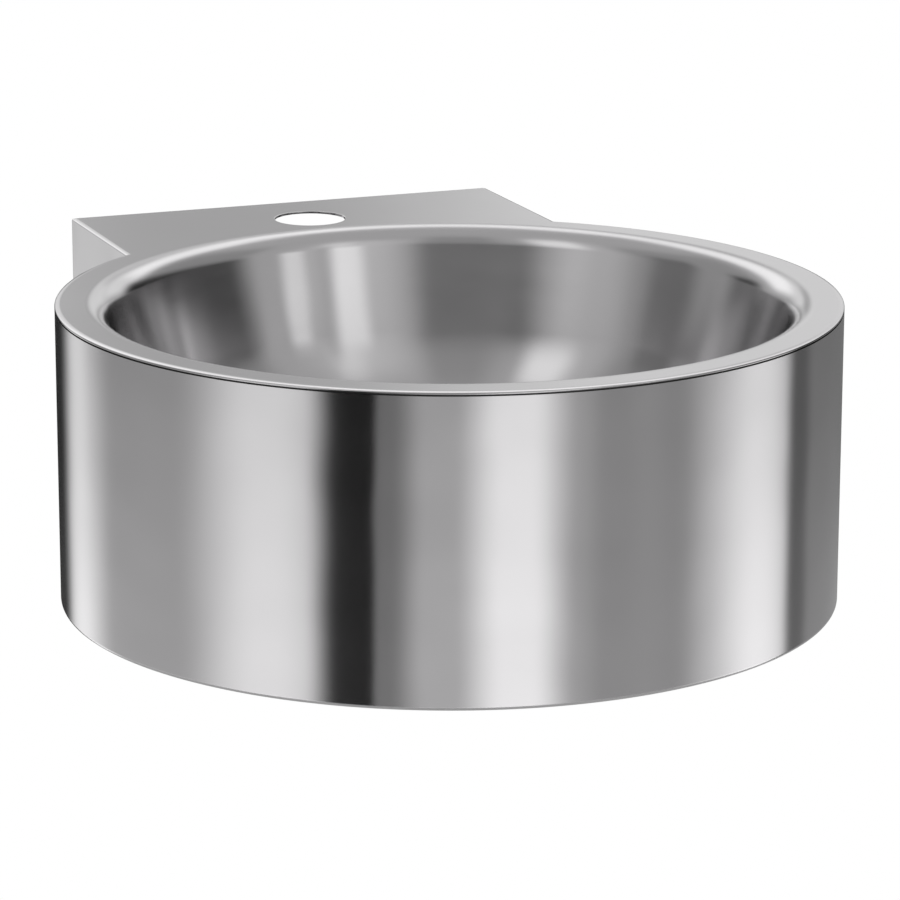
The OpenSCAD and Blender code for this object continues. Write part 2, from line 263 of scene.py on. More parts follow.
class Sheet:
    """Collects faces with a place, a normal and a UV at every corner."""

    def __init__(self):
        self.points, self.index = [], {}
        self.faces, self.normals, self.uvs, self.finish = [], [], [], []

    def corner(self, place):
        key = tuple(round(c * 1e7) for c in place)
        if key not in self.index:
            self.index[key] = len(self.points)
            self.points.append(tuple(place))
        return self.index[key]

    def face(self, corners, finish=0):
        """corners is a list of (place, normal, uv)."""
        seen, kept = set(), []
        for place, normal, uv in corners:
            i = self.corner(place)
            if i not in seen:
                seen.add(i)
                kept.append((i, normal, uv))
        if len(kept) < 3:
            return
        a, b, c = (Vector(self.points[kept[k][0]]) for k in (0, 1, 2))
        turn = (b - a).cross(c - a)
        if len(kept) == 4:
            turn += (c - a).cross(Vector(self.points[kept[3][0]]) - a)
        if turn.length < 1e-14:
            return
        if turn.dot(sum((Vector(n) for _, n, _ in kept), Vector())) < 0:
            kept.reverse()
        self.faces.append([k[0] for k in kept])
        self.normals.extend(k[1] for k in kept)
        self.uvs.extend(k[2] for k in kept)
        self.finish.append(finish)

    def patch(self, rows, finish=0):
        """rows is a grid of (place, normal, uv)."""
        for low, high in zip(rows, rows[1:]):
            for k in range(len(low) - 1):
                self.face([low[k], low[k + 1], high[k + 1], high[k]], finish)

    def cut(self, rows, normal):
        """A plain cut edge, as a grid of places that share one normal."""
        self.patch([[(p, normal, (p[0], p[1] + p[2])) for p in row] for row in rows])

    def flat(self, loops, normal):
        """Fills the area between an outer loop and the holes in it."""
        pts = [p for loop in loops for p in loop]
        n = Vector(normal)
        side = n.orthogonal().normalized() if abs(n.z) < 0.9 else Vector((1, 0, 0))
        up = n.cross(side)
        for tri in tessellate_polygon([[Vector(p) for p in loop] for loop in loops]):
            spots = [(pts[i], Vector(pts[i])) for i in tri]
            self.face([(p, normal, (v.dot(side), v.dot(up))) for p, v in spots])

    def build(self, name, materials, slot, *nodes):
        mesh = bpy.data.meshes.new(name)
        mesh.from_pydata(self.points, [], self.faces)
        mesh.polygons.foreach_set("material_index", self.finish)
        mesh.polygons.foreach_set("use_smooth", [True] * len(self.faces))
        layer = mesh.uv_layers.new(name="Grain")
        layer.data.foreach_set("uv", [c for uv in self.uvs for c in uv])
        mesh.normals_split_custom_set([tuple(Vector(n).normalized()) for n in self.normals])
        for m in materials:
            mesh.materials.append(m)
        obj = linked(name, mesh)
        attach(obj, "root")
        if nodes:
            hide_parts(*nodes)


def arc(centre, radius, start, end, steps):
    """Points (r, z) on an arc with their outward normals, in degrees."""
    out = []
    for k in range(steps + 1):
        t = math.radians(start + (end - start) * k / steps)
        c, s = math.cos(t), math.sin(t)
        out.append((centre[0] + radius * c, centre[1] + radius * s, c, s))
    return out


def flip(run):
    return [(r, z, -a, -b) for r, z, a, b in run]


def lengths(run):
    """How far along a run each of its points is, by the first two numbers of each."""
    along = [0.0]
    for p, q in zip(run, run[1:]):
        along.append(along[-1] + math.dist(p[:2], q[:2]))
    return along


def turned(sheet, run, steps, x=0.0, y=AXIS_Y, finish=0, trim=None):
    """Turns a run of (r, z, nr, nz) about the upright line through x, y. trim(r) gives the
    first and last angle in radians."""
    wide, rows = max(p[0] for p in run), []
    for (r, z, nr, nz), v in zip(run, lengths(run)):
        start, end = trim(r) if trim else (0.0, 2 * math.pi)
        row = []
        for k in range(steps + 1):
            t = start + (end - start) * k / steps
            c, s = math.cos(t), math.sin(t)
            row.append(((x + r * c, y + r * s, z), (nr * c, nr * s, nz), (wide * t, v + z)))
        rows.append(row)
    sheet.patch(rows, finish)


def banded(sheet, corners, steps, **where):
    """Turns (r, z) corners as plain bands, each with one normal. With r to the right and z
    up, the metal is on the left of the way that the corners go."""
    for (r0, z0), (r1, z1) in zip(corners, corners[1:]):
        out = Vector((z1 - z0, r0 - r1)).normalized()
        turned(sheet, [(r0, z0, *out), (r1, z1, *out)], steps, **where)


def circle(x, y, z, r, steps):
    return [
        (x + r * math.cos(2 * math.pi * k / steps), y + r * math.sin(2 * math.pi * k / steps), z)
        for k in range(steps)
    ]


# ---------------------------------------------------------------- the basin's outlines


def rear_half(sizes):
    """Half the width of the edge folded down behind the ledge, just clear of the flanges."""
    return LEDGE_HW - sizes.side_flange_w - CLEARANCE


def ledge_outline(inset, z, sizes, out_n=0.0, up_n=1.0):
    """The deck's outer edge drawn in by inset, as one list of (place, normal) for each side:
    back, left corner, left side, round front, right side, right corner."""
    r, hw, back = BODY_R - inset, LEDGE_HW - inset, -inset
    corner = max(sizes.fold_r - inset, 0.0)
    meet = math.acos(hw / r)
    turn, rear = math.degrees(meet), rear_half(sizes)
    ys = [float(y) for y in np.linspace(back - corner, AXIS_Y + r * math.sin(meet), 9)]
    runs = [
        [(x, back, 0, 1) for x in (hw - corner, rear, -rear, corner - hw)],
        arc((corner - hw, back - corner), corner, 90, 180, 6),
        [(-hw, y, -1, 0) for y in ys],
        arc((0, AXIS_Y), r, 180 - turn, 360 + turn, 220),
        [(hw, y, 1, 0) for y in ys[::-1]],
        arc((hw - corner, back - corner), corner, 0, 90, 6),
    ]
    return [[((x, y, z), (nx * out_n, ny * out_n, up_n)) for x, y, nx, ny in run] for run in runs]


def fold_sides(sheet, levels, sizes, side_sign=1.0):
    """Sweeps the deck's outline through levels of (inset, z, out normal, up normal)."""
    sets = [ledge_outline(d, z, sizes, side_sign * a, side_sign * b) for d, z, a, b in levels]
    for k, last in enumerate(sets[-1]):
        across = lengths([place for place, _ in last])
        sheet.patch([
            [(place, normal, (u, v)) for (place, normal), u in zip(sides[k], across)]
            for sides, v in zip(sets, lengths(levels))
        ])


def edge_run(sizes):
    """How far in the deck is still flat, and how high the middle of its fold lies."""
    lean, upright = math.sin(sizes.crown_turn), math.cos(sizes.crown_turn)
    flat = sizes.edge_r * (1 - lean) + sizes.crown_r * lean
    return flat, DECK_Z - sizes.crown_r * (1 - upright) - sizes.edge_r * upright


def deck_low(sizes):
    return edge_run(sizes)[1] - sizes.edge_land


def deck_levels(sizes):
    """The deck's edge from the flat down, as (inset, z, out normal, up normal)."""
    flat, fold_z = edge_run(sizes)
    start = 90 + math.degrees(sizes.crown_turn)
    levels = arc((flat, DECK_Z - sizes.crown_r), sizes.crown_r, 90, start, 6)[:-1]
    levels += arc((sizes.edge_r, fold_z), sizes.edge_r, start, 180, 6)
    return [(d, z, -a, b) for d, z, a, b in levels] + [(0.0, deck_low(sizes), 1.0, 0.0)]


def bowl_run(sizes, grow):
    """The bowl from its lip to the waste hole, as a run of (r, z, nr, nz) seen from inside.
    grow is 0 for the inner skin and the sheet's thickness for the outer one."""
    seat_z = BOWL_BOX[0].z + sizes.sheet
    rim_z = seat_z + sizes.seat_drop
    s, c = math.sin(sizes.slope), math.cos(sizes.slope)
    lean, upright = math.sin(sizes.wall_draft), math.cos(sizes.wall_draft)
    draft, rise = math.degrees(sizes.wall_draft), math.tan(sizes.slope)
    seat_top_r = sizes.seat_r + sizes.seat_drop
    lip_z = DECK_Z - sizes.lip_r
    foot_r, foot_z = LIP_END_R - sizes.lip_r * upright, lip_z + sizes.lip_r * lean
    # The corner's middle lies its radius away from the wall and from the slope
    from_wall = sizes.corner_r + lean * foot_z - upright * foot_r
    from_slope = sizes.corner_r + c * rim_z - s * seat_top_r
    spread = math.cos(sizes.wall_draft + sizes.slope)
    corner_r = (from_slope * lean - from_wall * c) / spread
    corner_z = (from_slope * upright - from_wall * s) / spread
    # Rolled lip, the wall and the corner
    run = arc((LIP_END_R, lip_z), sizes.lip_r - grow, 90, 180 - draft, 18)
    end = -90 + math.degrees(sizes.slope)
    corner = flip(arc((corner_r, corner_z), sizes.corner_r + grow, -draft, end, 44))
    top, low = run[-1], corner[0]
    for f in np.linspace(0, 1, 7)[1:-1]:
        run.append((top[0] + (low[0] - top[0]) * f, top[1] + (low[1] - top[1]) * f, -upright, lean))
    run += corner
    # Slope down to the edge of the seat, a soft bend into it, and the seat itself
    ease, bend, diagonal = 0.0008, 0.0012, 0.707
    end = (seat_top_r + ease, rim_z + ease * rise)
    slope_r = corner_r + sizes.corner_r * s
    first = (slope_r, rim_z + (slope_r - seat_top_r) * rise)
    for k in range(1, 7):
        r, z = (first[i] + (end[i] - first[i]) * k / 6 for i in (0, 1))
        run.append((r + grow * s, z - grow * c, -s, c))
    share, skin = bend * 0.6, grow * diagonal
    for r, z in ((seat_top_r - share, rim_z - share), (sizes.seat_r + share, seat_z + share)):
        run.append((r + skin, z - skin, -diagonal, diagonal))
    for r in (sizes.seat_r - bend, sizes.waste_hole_r):
        run.append((r, seat_z - grow, 0.0, 1.0))
    return run


# ---------------------------------------------------------------- pieces


def basin():
    return bpy.context.scene.basin_sizes, bpy.context.scene.basin_finish


class BASIN_OT_bowl(bpy.types.Operator):
    """Pressed bowl with its rolled lip, corner, sloped bottom and waste seat"""

    bl_idname = "basin.bowl"
    bl_label = "Bowl"

    def execute(self, context):
        sizes, finish = basin()
        sheet = Sheet()
        inner, outer = bowl_run(sizes, 0.0), bowl_run(sizes, sizes.sheet)
        turned(sheet, inner, RING)
        turned(sheet, flip(outer), RING, finish=1)
        banded(sheet, [outer[0][:2], inner[0][:2]], RING)
        banded(sheet, [inner[-1][:2], outer[-1][:2]], RING)
        looks = [satin("bowl_satin", finish, finish.inner_rough), back_steel(finish)]
        sheet.build("bowl_pressing", looks, "satin_steel", "bowl")
        return {"FINISHED"}


class BASIN_OT_deck(bpy.types.Operator):
    """Flat ring and tap ledge in one sheet, folded down all round"""

    bl_idname = "basin.deck"
    bl_label = "Deck and tap ledge"

    def execute(self, context):
        sizes, finish = basin()
        sheet = Sheet()
        outer, flat = deck_levels(sizes), edge_run(sizes)[0]
        low_z, under_z, t = outer[-1][1], DECK_Z - sizes.sheet, sizes.sheet
        fold_sides(sheet, outer, sizes)
        fold_sides(sheet, [(flat, under_z, 0, 1), (t, under_z, 0, 1)], sizes, -1.0)
        fold_sides(sheet, [(t, under_z, 1, 0), (t, low_z, 1, 0)], sizes, -1.0)
        fold_sides(sheet, [(0.0, low_z, 0, -1), (t, low_z, 0, -1)], sizes)
        wide_r = sizes.tap_r + sizes.tap_edge
        for z, tap_r, up in ((DECK_Z, wide_r, 1.0), (under_z, sizes.tap_r, -1.0)):
            places = [place for side in ledge_outline(flat, z, sizes) for place, _ in side]
            loop = [p for p, q in zip(places, places[1:] + places[:1]) if math.dist(p, q) > 1e-7]
            bowl_hole = circle(0, AXIS_Y, z, LIP_END_R, RING)
            sheet.flat([loop, bowl_hole, circle(0, sizes.tap_y, z, tap_r, TAP_RING)], (0, 0, up))
        banded(sheet, [(LIP_END_R, DECK_Z), (LIP_END_R, under_z)], RING)
        hole = arc((wide_r, DECK_Z - sizes.tap_edge), sizes.tap_edge, 90, 180, 6)
        turned(sheet, [*hole, (sizes.tap_r, under_z, -1, 0)], TAP_RING, y=sizes.tap_y)
        # The edge folded down behind the ledge
        hw, rear_z = rear_half(sizes), DECK_Z - sizes.rear_flange_h
        for ends, n in (
            (((0.0, low_z), (0.0, rear_z)), (0, 1, 0)), (((-t, low_z), (-t, rear_z)), (0, -1, 0)),
            (((0.0, rear_z), (-t, rear_z)), (0, 0, -1)),
        ):
            sheet.cut([[(-hw, y, z), (hw, y, z)] for y, z in ends], n)
        for side in (-1, 1):
            sheet.patch([
                [((side * hw, y, z), (side, 0, 0), (y, z)) for z in (low_z, rear_z)]
                for y in (0.0, -t)
            ])
        look = satin("deck_satin", finish, share=0.5)
        sheet.build("deck_sheet", [look], "satin_steel", "deck_plate")
        return {"FINISHED"}


class BASIN_OT_apron(bpy.types.Operator):
    """Rolled apron round the bowl, with its hem turned in at the bottom"""

    bl_idname = "basin.apron"
    bl_label = "Apron"

    def execute(self, context):
        sizes, finish = basin()
        sheet = Sheet()
        root_z = deck_low(sizes)
        top_z, groove_r = root_z - sizes.seam, BODY_R - GROOVE * sizes.seam
        f, t = sizes.fold_r, sizes.sheet
        outer, inner = (
            [(BODY_R - depth, z, 1, 0) for z in np.linspace(high, LOW_Z + f, 9)[:-1]]
            + arc((BODY_R - f, LOW_Z + f), f - depth, 0, -90, 6)
            + [(BODY_R - sizes.hem_w, LOW_Z + depth, 0, -1)]
            for high, depth in ((top_z, 0.0), (root_z, t))
        )

        def trim(r):
            meet = math.acos(LEDGE_HW / r)
            return math.pi - meet, 2 * math.pi + meet

        seam = [(BODY_R, top_z), (groove_r, top_z), (groove_r, root_z), (BODY_R - t, root_z)]
        turned(sheet, outer, APRON_RING, trim=trim)
        turned(sheet, flip(inner), APRON_RING, finish=1, trim=trim)
        # The seam's groove takes the third look, the dark seam_shade steel: painted shade inside
        # the groove between deck and apron
        banded(sheet, seam, APRON_RING, finish=2, trim=trim)
        banded(sheet, [inner[-1][:2], outer[-1][:2]], APRON_RING, trim=trim)
        for side in (-1, 1):
            x = side * LEDGE_HW
            sheet.patch([
                [((x, AXIS_Y + math.sqrt(r * r - x * x), z), (-side, 0, 0), (r, z))
                 for r, z in (p[:2], q[:2])]
                for p, q in zip(outer, inner)
            ])
        looks = [satin("apron_satin", finish), back_steel(finish), metal("seam_shade")]
        sheet.build("apron_sheet", looks, "satin_steel", "skirt")
        return {"FINISHED"}


class BASIN_OT_panels(bpy.types.Operator):
    """Side panels of the tap ledge, with the hem below and the flange against the wall"""

    bl_idname = "basin.panels"
    bl_label = "Side panels"

    def execute(self, context):
        sizes, finish = basin()
        top_z, f, t, hw = deck_low(sizes), sizes.fold_r, sizes.sheet, LEDGE_HW
        flange_low = LOW_Z + sizes.hem_w + 0.003
        hem_x, flange_x = hw - sizes.hem_w, hw - sizes.side_flange_w
        span = (PANEL_FRONT_Y, -f)
        for side, name in ((-1, "left_side_panel"), (1, "right_side_panel")):
            sheet, skins = Sheet(), []
            for depth in (0.0, t):
                # The upright part's section in x and z, and the flange's in x and y
                wall = [(hw - depth, z, 1, 0) for z in (top_z, flange_low, LOW_Z + f)]
                wall += arc((hw - f, LOW_Z + f), f - depth, 0, -90, 6)[1:]
                wall.append((hem_x, LOW_Z + depth, 0, -1))
                plan = arc((hw - f, -f), f - depth, 0, 90, 6) + [(flange_x, -depth, 0, 1)]
                skins.append([[p[:2] for p in run] for run in (wall, plan)])
                if depth:
                    wall, plan = flip(wall), flip(plan)
                sheet.patch([
                    [((side * x, y, z), (side * nx, 0, nz), (y, along))
                     for y in np.linspace(*span, 9)]
                    for (x, z, nx, nz), along in zip(wall, lengths(wall))
                ])
                sheet.patch([
                    [((side * x, y, z), (side * nx, ny, 0), (along, z))
                     for z in np.linspace(top_z, flange_low, 7)]
                    for (x, y, nx, ny), along in zip(plan, lengths(plan))
                ])
            # Cut edges of the upright part, then those of the flange
            walls, plans = (list(zip(*runs)) for runs in zip(*skins))
            for y, pairs, n in ((span[0], walls, -1), (span[1], walls[1:], 1)):
                sheet.cut([[(side * x, y, z) for x, z in pair] for pair in pairs], (0, n, 0))
            sheet.cut(
                [[(side * hem_x, y, z) for z in (LOW_Z, LOW_Z + t)] for y in span], (-side, 0, 0)
            )
            sheet.cut([[(side * x, y, top_z) for x in (hw, hw - t)] for y in span], (0, 0, 1))
            for z, n in ((top_z, 1), (flange_low, -1)):
                sheet.cut([[(side * x, y, z) for x, y in pair] for pair in plans], (0, 0, n))
            sheet.cut(
                [[(side * flange_x, y, z) for y in (0.0, -t)] for z in (top_z, flange_low)],
                (-side, 0, 0),
            )
            sheet.build(name + "_sheet", [satin("panel_satin", finish)], "satin_steel", name)
        return {"FINISHED"}


def hexagon(x, y, z, flats):
    """Corners of a hexagon that is flats wide across its flats."""
    return circle(x, y, z, flats / 2 / math.cos(math.pi / 6), 6)


def socket_walls(sheet, loop, z0, z1):
    """Upright walls of a socket, each one flat and facing the middle."""
    middle = sum((Vector(p) for p in loop), Vector()) / len(loop)
    for a, b in zip(loop, loop[1:] + loop[:1]):
        normal = middle - (Vector(a) + Vector(b)) / 2
        normal.z = 0
        sheet.cut([[(*p[:2], z) for p in (a, b)] for z in (z0, z1)], normal)


def nut(sheet, x, y, z0, z1, corners_r, bore_r, columns=10):
    """Hexagonal nut, chamfered above and below."""
    flat_r = corners_r * math.cos(math.pi / 6)
    face_r = flat_r * 0.97
    slope, cone_out, cone_up = math.tan(math.radians(28)), 0.47, 0.88
    for k in range(6):
        mid = math.pi / 6 + math.pi * k / 3
        n, edges = (math.cos(mid), math.sin(mid), 0), []
        for up, z_face in ((-1, z0), (1, z1)):
            face_row, edge_row = [], []
            for j in range(columns + 1):
                a = mid - math.pi / 6 + math.pi / 3 * j / columns
                c, s = math.cos(a), math.sin(a)
                edge_r = flat_r / math.cos(a - mid)
                z_edge = z_face - up * (edge_r - face_r) * slope
                cone = (c * cone_out, s * cone_out, cone_up * up)
                face_row.append(((x + face_r * c, y + face_r * s, z_face), cone, (a, 0)))
                edge_row.append(((x + edge_r * c, y + edge_r * s, z_edge), cone, (a, edge_r)))
            sheet.patch([face_row, edge_row])
            edges.append([place for place, _, _ in edge_row])
        sheet.cut(edges, n)
    soft = 0.0006 * min(1, bore_r / 0.01)
    banded(sheet, [
        (face_r, z1), (bore_r + soft, z1), (bore_r, z1 - soft),
        (bore_r, z0 + soft), (bore_r + soft, z0), (face_r, z0),
    ], 60, x=x, y=y)


def threaded(sheet, x, y, r, z0, z1, pitch, depth, steps=72, per_turn=10):
    """A right-hand thread on a stem, faded out at both ends. Its crest and its root are each
    flat over a share of the pitch, and its sides slope between them."""
    count = max(2, round((z1 - z0) / pitch * per_turn))
    flat, fade_turns, side_slope = 0.12, 0.8, 0.87
    rows = []
    for i in range(count + 1):
        z = z0 + (z1 - z0) * i / count
        fade = min(1.0, min(z - z0, z1 - z) / (fade_turns * pitch))
        row = []
        for k in range(steps + 1):
            t = 2 * math.pi * k / steps
            phase = (z / pitch - k / steps) % 1.0
            sunk = min(max((abs(2 * phase - 1) - flat) / (1 - 2 * flat), 0.0), 1.0)
            here, lean = r - depth * fade * sunk, 0.0
            if 0.0 < sunk < 1.0:
                lean = (1 if phase < 0.5 else -1) * side_slope * fade
            c, s = math.cos(t), math.sin(t)
            row.append(((x + here * c, y + here * s, z), (c, s, -lean), (t * r, z)))
        rows.append(row)
    sheet.patch(rows)


def socket_head(sheet, x, y, z_face, z_under, r, flats, depth, stem_r):
    """Round screw head with a hexagon socket in its face, which may look up or down."""
    up = 1 if z_face > z_under else -1
    edge = r * 0.16
    run = [(r, z_under, 1, 0)]
    for out, height, c, s in arc((r - edge, 0), edge, 0, 90, 4):
        run.append((out, z_face - up * (edge - height), c, up * s))
    turned(sheet, run, 60, x, y)
    socket, floor_z = hexagon(x, y, z_face, flats), z_face - up * depth
    sheet.flat([circle(x, y, z_face, r - edge, 60), socket], (0, 0, up))
    socket_walls(sheet, socket, floor_z, z_face)
    sheet.flat([hexagon(x, y, floor_z, flats)], (0, 0, up))
    turned(sheet, [(r, z_under, 0, -up), (stem_r, z_under, 0, -up)], 60, x, y)


def filleted(path, radius):
    """Points along a path of (u, v) whose inner corners are rounded, with their normals."""
    out, steps = [], 7
    for i, p in enumerate(path):
        p = Vector(p)
        if i in (0, len(path) - 1):
            q = Vector(path[1 if i == 0 else -2])
            d = (q - p if i == 0 else p - q).normalized()
            out.append((p, Vector((-d.y, d.x))))
            continue
        a = (p - Vector(path[i - 1])).normalized()
        b = (Vector(path[i + 1]) - p).normalized()
        side = 1 if a.x * b.y - a.y * b.x > 0 else -1
        half = math.acos(max(-1.0, min(1.0, a.dot(b)))) / 2
        n = Vector((-a.y, a.x))
        centre = p - a * radius * math.tan(half) + n * radius * side
        for k in range(steps + 1):
            t = 2 * half * k / steps * side
            c, s = math.cos(t), math.sin(t)
            here = Vector((n.x * c - n.y * s, n.x * s + n.y * c))
            out.append((centre - here * radius * side, here))
    return out


def bevelled(obj, title, width, harden):
    """A fine rounding along an object's edges, as deburred parts have."""
    edge = obj.modifiers.new(title, "BEVEL")
    edge.width, edge.segments, edge.limit_method = width, 2, "ANGLE"
    edge.angle_limit, edge.harden_normals = EDGE_ANGLE, harden


def drilled(obj, holes):
    """Cuts holes, given as (point, axis, radius), out of an object's mesh."""
    drill_mesh = bpy.data.meshes.new(obj.name + "_drill")
    work = bmesh.new()
    for point, axis, r in holes:
        spin = Vector(axis).to_track_quat("Z", "Y").to_matrix().to_4x4()
        bmesh.ops.create_cone(
            work, cap_ends=True, segments=48, radius1=r, radius2=r, depth=0.03,
            matrix=Matrix.Translation(point) @ spin,
        )
    work.to_mesh(drill_mesh)
    work.free()
    drill, whole_mesh = linked(obj.name + "_drill", drill_mesh), obj.data
    cut = obj.modifiers.new("Holes", "BOOLEAN")
    cut.operation, cut.solver, cut.object = "DIFFERENCE", "EXACT", drill
    bpy.context.view_layer.update()
    graph = bpy.context.evaluated_depsgraph_get()
    obj.data = bpy.data.meshes.new_from_object(obj.evaluated_get(graph))
    obj.modifiers.clear()
    bpy.data.objects.remove(drill)
    for mesh in (drill_mesh, whole_mesh):
        bpy.data.meshes.remove(mesh)


def bent_plate(name, path, thick, radius, ends, place, holes, material, node):
    """Plate bent along a path of (u, v) down its middle, from w = ends[0] to ends[1], with
    drilled holes given as (point, axis, radius). place(u, v, w) gives the point in the frame."""
    middle = filleted(path, radius)
    loop = [p + n * thick / 2 for p, n in middle] + [p - n * thick / 2 for p, n in middle[::-1]]
    n = len(loop)
    faces = [[i, (i + 1) % n, n + (i + 1) % n, n + i] for i in range(n)]
    for base in (0, n):
        for i in range(len(middle) - 1):
            faces.append([base + i, base + i + 1, base + n - 2 - i, base + n - 1 - i])
    mesh = bpy.data.meshes.new(name)
    mesh.from_pydata([place(p.x, p.y, w) for w in ends for p in loop], [], faces)
    work = bmesh.new()
    work.from_mesh(mesh)
    bmesh.ops.recalc_face_normals(work, faces=work.faces)
    work.to_mesh(mesh)
    work.free()
    obj = linked(name, mesh)
    if holes:
        drilled(obj, holes)
    bevelled(obj, "Deburred edges", 0.0003, True)
    for face in obj.data.polygons:
        face.use_smooth = True
    obj.data.set_sharp_from_angle(angle=EDGE_ANGLE)
    obj.data.materials.clear()
    obj.data.materials.append(material)
    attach(obj, "root")
    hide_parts(node)


def dress(node, material, width):
    """Gives a piece of the CAD its finish and fine rounded edges."""
    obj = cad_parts[node]
    obj.data.materials.clear()
    obj.data.materials.append(material)
    bevelled(obj, "Rounded edges", width, False)


def bead(sheet, start, finish_at, width, up, out, ripples):
    """A fillet weld along a line: a quarter round with the ripples of its pools."""
    a, b = Vector(start), Vector(finish_at)
    along, length = (b - a).normalized(), (b - a).length
    up, out = Vector(up), Vector(out)
    count, ripple_height, hollow, end_share = max(8, ripples * 6), 0.07, 0.14, 0.8
    rows = []
    for i in range(count + 1):
        f = i / count
        end = min(1.0, min(f, 1 - f) * length / (end_share * width))
        ripple = 1 + ripple_height * math.sin(f * ripples * 2 * math.pi)
        size = width * math.sqrt(max(0.0, 1 - (1 - end) ** 2)) * ripple
        row = []
        for _, _, c, s in arc((0, 0), 1, 0, 90, 6):
            n = up * s + out * c
            spot = a + along * length * f + n * size * (1 - hollow * (1 - abs(c * c - s * s)))
            row.append((tuple(spot), tuple(n), (f * length, s * width)))
        rows.append(row)
    sheet.patch(rows)


class BASIN_OT_waste(bpy.types.Operator):
    """Free-flow waste: flange, threaded tail, crossbar, strainer and its screw"""

    bl_idname = "basin.waste"
    bl_label = "Waste"

    def execute(self, context):
        low, top = whole(WASTE_BOX[0].z), whole(WASTE_BOX[1].z)
        under, floor_z = top - 0.003, top - 0.0015
        bar_top, boss_low = under - 0.012, under - 0.021
        self.body(low, top, under, floor_z, bar_top, boss_low)
        self.plate(floor_z, top)
        sheet = Sheet()
        socket_head(
            sheet, 0, AXIS_Y, top + 0.0024, top, r=0.0066, flats=0.004, depth=0.0016, stem_r=SCREW_R
        )
        banded(sheet, [(SCREW_R, bar_top), (SCREW_R, top)], 48)
        threaded(sheet, 0, AXIS_Y, SCREW_R, boss_low, bar_top, SCREW_PITCH, 0.0005, 36, 8)
        banded(sheet, [(0.0, boss_low), (SCREW_R, boss_low)], 36)
        sheet.build("strainer_fixing", [metal("bright_steel")], "bright_steel", "strainer_screw")
        return {"FINISHED"}

    def body(self, low, top, under, floor_z, bar_top, boss_low):
        sheet = Sheet()
        flange_r, recess_r, bore_r = whole(WASTE_BOX[1].x), 0.0253, 0.018
        round_r, soft, edge, chamfer = 0.0012, 0.0003, 0.0002, 0.0004
        taper_r, taper_z = TAIL_R - 0.0016, low + 0.0014
        cut_top, cut_low, cut_r = top - 0.0212, top - 0.0232, TAIL_R - 0.0007
        collar_z = under - 0.003
        # Flange with its recess, then the bore and the tail
        run = [(recess_r, floor_z, -1, 0), (recess_r, top - soft, -1, 0)]
        run += arc((recess_r + soft, top - soft), soft, 180, 90, 3)
        run += arc((flange_r - round_r, top - round_r), round_r, 90, 0, 6)
        turned(sheet, [*run, (flange_r, under + edge, 1, 0)], 144)
        banded(sheet, [(TAIL_R, under), (flange_r - edge, under), (flange_r, under + edge)], 144)
        banded(sheet, [
            (recess_r, floor_z), (bore_r + chamfer, floor_z), (bore_r, floor_z - chamfer),
            (bore_r, low),
        ], 144)
        banded(sheet, [(bore_r, low), (taper_r, low)], 72)
        taper = [(TAIL_R, taper_z, 0.75, -0.66), (taper_r, low, 0.75, -0.66)]
        turned(sheet, taper, 72)
        cut = [(TAIL_R, cut_low), (cut_r, cut_low), (cut_r, cut_top), (TAIL_R, cut_top)]
        banded(sheet, cut, 72)
        banded(sheet, [(TAIL_R, collar_z), (TAIL_R, under)], 72)
        for z0, z1 in ((cut_top, collar_z), (taper_z, cut_low)):
            threaded(sheet, 0, AXIS_Y, TAIL_R, z0, z1, pitch=0.002309, depth=0.00125)
        # Crossbar with its boss
        bar_low, half, boss_r = under - 0.017, 0.003, 0.006
        face_r, foot_r = boss_r - 0.0008, boss_r - chamfer
        turned(sheet, [
            (face_r, bar_top, 0.3, 1), (0.0058, bar_top - chamfer, 1, 0.3),
            (boss_r, boss_low + chamfer, 1, 0),
        ], 48)
        banded(sheet, [(SCREW_R, boss_low), (foot_r, boss_low), (boss_r, boss_low + chamfer)], 48)
        banded(sheet, [(face_r, bar_top), (SCREW_R, bar_top)], 48)
        slim, shoulder = half - 0.0005, bar_top - 0.0005
        section = [(-half, bar_low), (half, bar_low), (half, shoulder), (slim, bar_top),
                   (-slim, bar_top), (-half, shoulder)]
        for side in (-1, 1):
            for p, q in zip(section, section[1:] + section[:1]):
                sheet.cut([
                    [(x, AXIS_Y + y, z) for x in (side * face_r, side * (bore_r + chamfer))]
                    for y, z in (p, q)
                ], (0, q[1] - p[1], p[0] - q[0]))
        sheet.build("waste_with_threads", [metal("chrome_plate")], "chrome", "waste_body")

    def plate(self, low, top):
        sheet, plate_r, soft = Sheet(), 0.025, 0.0003

        def edge(r, side):
            return [(r - side * soft, low, 0, -1), (r, low + soft, side, 0),
                    (r, top - soft, side, 0), (r - side * soft, top, 0, 1)]

        holes = [(0.0, 0.0, 0.0033)]
        for ring_r, count in ((0.0105, 6), (0.019, 12)):
            holes += [(x, y, 0.003) for x, y, _ in circle(0, 0, 0, ring_r, count)]
        for z, up in ((top, 1), (low, -1)):
            loops = [circle(0, AXIS_Y, z, plate_r - soft, 96)]
            loops += [circle(x, AXIS_Y + y, z, r + soft, 24) for x, y, r in holes]
            sheet.flat(loops, (0, 0, up))
        turned(sheet, edge(plate_r, 1), 96)
        for x, y, r in holes:
            turned(sheet, edge(r, -1), 24, x, AXIS_Y + y)
        sheet.build("strainer_disc", [metal("bright_steel")], "bright_steel", "strainer_plate")


class BASIN_OT_seals(bpy.types.Operator):
    """Lock nut, slip washer, gasket and seal that hold the waste"""

    bl_idname = "basin.seals"
    bl_label = "Lock nut and seals"

    def execute(self, context):
        low, top = whole(NUT_BOX[0].z), whole(NUT_BOX[1].z)
        sheet = Sheet()
        nut(sheet, 0, AXIS_Y, low, top, NUT_FLAT_R / math.cos(math.pi / 6), TAIL_R)
        sheet.build("waste_nut", [metal("turned_brass")], "brass", "lock_nut")
        dress("flange_seal", matt("black_rubber"), 0.0003)
        dress("bowl_gasket", matt("black_rubber"), 0.0006)
        dress("slip_washer", matt("white_plastic"), 0.0003)
        return {"FINISHED"}


